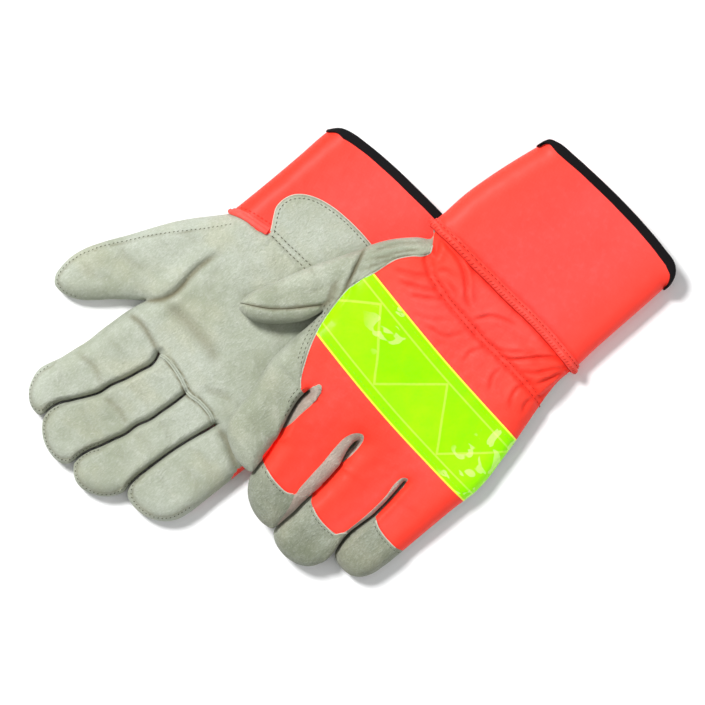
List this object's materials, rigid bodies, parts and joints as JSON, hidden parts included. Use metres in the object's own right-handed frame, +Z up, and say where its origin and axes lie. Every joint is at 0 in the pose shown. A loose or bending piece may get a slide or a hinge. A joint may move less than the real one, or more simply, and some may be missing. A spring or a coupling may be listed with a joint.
{
  "type": "pair of work gloves",
  "caption": "Pair of leather-palm work gloves with fluorescent fabric backs, reflective wrist tape and stiff safety cuffs, one lying across the other.",
  "frame": {"origin": "centre of the flat underside of the lower (right) glove's hand, on the table", "axes": "+Y towards the fingertips, +X towards the thumbs, +Z up from the table"},
  "size_m": [0.2654, 0.3567, 0.0422],
  "materials": {
    "leather": "matt split leather, pale grey-green",
    "leather_strip": "matt suede side strips, pinkish grey",
    "orange_fabric": "fluorescent orange woven fabric",
    "reflective_tape": "glossy fluorescent lime tape with paler bands",
    "binding": "black woven edge binding",
    "lining": "off-white cotton lining",
    "elastic": "flat woven elastic",
    "thread": "polyester sewing thread"
  },
  "bodies": {
    "right_hand": {"right_palm_panel": "leather", "right_back_panel": "orange_fabric", "right_reflective_tape": "reflective_tape", "right_finger_base_welt": "leather", "right_hand_lining": "lining", "right_wrist_elastic": "elastic", "right_stitching": "thread"},
    "right_cuff": {"right_cuff_shell": "orange_fabric", "right_cuff_binding": "binding", "right_cuff_leather_tab": "leather", "right_cuff_hem": "orange_fabric", "right_cuff_stitching": "thread"},
    "right_index": {"right_index_front": "leather", "right_index_back": "leather", "right_index_fourchette": "leather_strip"},
    "right_middle": {"right_middle_front": "leather", "right_middle_back": "orange_fabric", "right_middle_fingertip": "leather", "right_middle_fourchettes": "leather_strip"},
    "right_ring": {"right_ring_front": "leather", "right_ring_back": "orange_fabric", "right_ring_fingertip": "leather", "right_ring_fourchettes": "leather_strip"},
    "right_little": {"right_little_front": "leather", "right_little_back": "orange_fabric", "right_little_fingertip": "leather", "right_little_fourchette": "leather_strip"},
    "right_thumb": {"right_thumb_front": "leather", "right_thumb_back": "leather"},
    "left_hand": {"left_palm_panel": "leather", "left_back_panel": "orange_fabric", "left_reflective_tape": "reflective_tape", "left_finger_base_welt": "leather", "left_hand_lining": "lining", "left_wrist_elastic": "elastic", "left_stitching": "thread"},
    "left_cuff": {"left_cuff_shell": "orange_fabric", "left_cuff_binding": "binding", "left_cuff_leather_tab": "leather", "left_cuff_hem": "orange_fabric", "left_cuff_stitching": "thread"},
    "left_index": {"left_index_front": "leather", "left_index_back": "leather", "left_index_fourchette": "leather_strip"},
    "left_middle": {"left_middle_front": "leather", "left_middle_back": "orange_fabric", "left_middle_fingertip": "leather", "left_middle_fourchettes": "leather_strip"},
    "left_ring": {"left_ring_front": "leather", "left_ring_back": "orange_fabric", "left_ring_fingertip": "leather", "left_ring_fourchettes": "leather_strip"},
    "left_little": {"left_little_front": "leather", "left_little_back": "orange_fabric", "left_little_fingertip": "leather", "left_little_fourchette": "leather_strip"},
    "left_thumb": {"left_thumb_front": "leather", "left_thumb_back": "leather"}
  },
  "joints": [
    {"name": "right_index_curl", "type": "hinge", "parent": "right_hand", "child": "right_index", "pos_m": [0.0402, 0.0502, 0.0202], "axis": [1, 0, 0], "range_deg": [0, 75], "stiffness_Nm_per_rad": 0.02},
    {"name": "right_middle_curl", "type": "hinge", "parent": "right_hand", "child": "right_middle", "pos_m": [0.0094, 0.0502, 0.0202], "axis": [1, 0, 0], "range_deg": [0, 75], "stiffness_Nm_per_rad": 0.02},
    {"name": "right_ring_curl", "type": "hinge", "parent": "right_hand", "child": "right_ring", "pos_m": [-0.0173, 0.0502, 0.0202], "axis": [1, 0, 0], "range_deg": [0, 75], "stiffness_Nm_per_rad": 0.02},
    {"name": "right_little_curl", "type": "hinge", "parent": "right_hand", "child": "right_little", "pos_m": [-0.0453, 0.058, 0.0202], "axis": [1, 0, 0], "range_deg": [0, 75], "stiffness_Nm_per_rad": 0.02},
    {"name": "right_thumb_fold", "type": "hinge", "parent": "right_hand", "child": "right_thumb", "pos_m": [0.0492, 0, 0.019], "axis": [0.0441, -0.999, 0], "range_deg": [0, 55], "stiffness_Nm_per_rad": 0.02},
    {"name": "right_cuff_swing", "type": "hinge", "parent": "right_hand", "child": "right_cuff", "pos_m": [0.0615, -0.0463, 0.01], "axis": [0, 0, 1], "range_deg": [0, 6], "stiffness_Nm_per_rad": 0.02},
    {"name": "left_glove_lift", "type": "slide", "parent": "right_hand", "child": "left_hand", "axis": [0, 0, 1], "range_m": [0, 0.15]},
    {"name": "left_index_bend", "type": "hinge", "parent": "left_hand", "child": "left_index", "pos_m": [-0.04454, -0.0098, 0.04219], "axis": [0.9833, 0, 0.1822], "range_deg": [0, 50], "stiffness_Nm_per_rad": 0.02},
    {"name": "left_middle_bend", "type": "hinge", "parent": "left_hand", "child": "left_middle", "pos_m": [-0.07659, -0.0098, 0.03625], "axis": [0.9833, 0, 0.1822], "range_deg": [0, 50], "stiffness_Nm_per_rad": 0.02},
    {"name": "left_ring_bend", "type": "hinge", "parent": "left_hand", "child": "left_ring", "pos_m": [-0.11553, -0.0098, 0.02903], "axis": [0.9833, 0, 0.1822], "range_deg": [0, 50], "stiffness_Nm_per_rad": 0.02},
    {"name": "left_little_bend", "type": "hinge", "parent": "left_hand", "child": "left_little", "pos_m": [-0.14994, -0.0098, 0.02265], "axis": [0.9833, 0, 0.1822], "range_deg": [0, 50], "stiffness_Nm_per_rad": 0.02},
    {"name": "left_thumb_fold", "type": "hinge", "parent": "left_hand", "child": "left_thumb", "pos_m": [-0.0237, -0.07, 0.0392], "axis": [-0.167, -0.986, 0], "range_deg": [0, 45], "stiffness_Nm_per_rad": 0.02},
    {"name": "left_cuff_fold", "type": "hinge", "parent": "left_hand", "child": "left_cuff", "pos_m": [-0.08924, -0.1274, 0.03645], "axis": [-0.9805, -0.075, -0.1817], "range_deg": [0, 60], "stiffness_Nm_per_rad": 0.05}
  ]
}
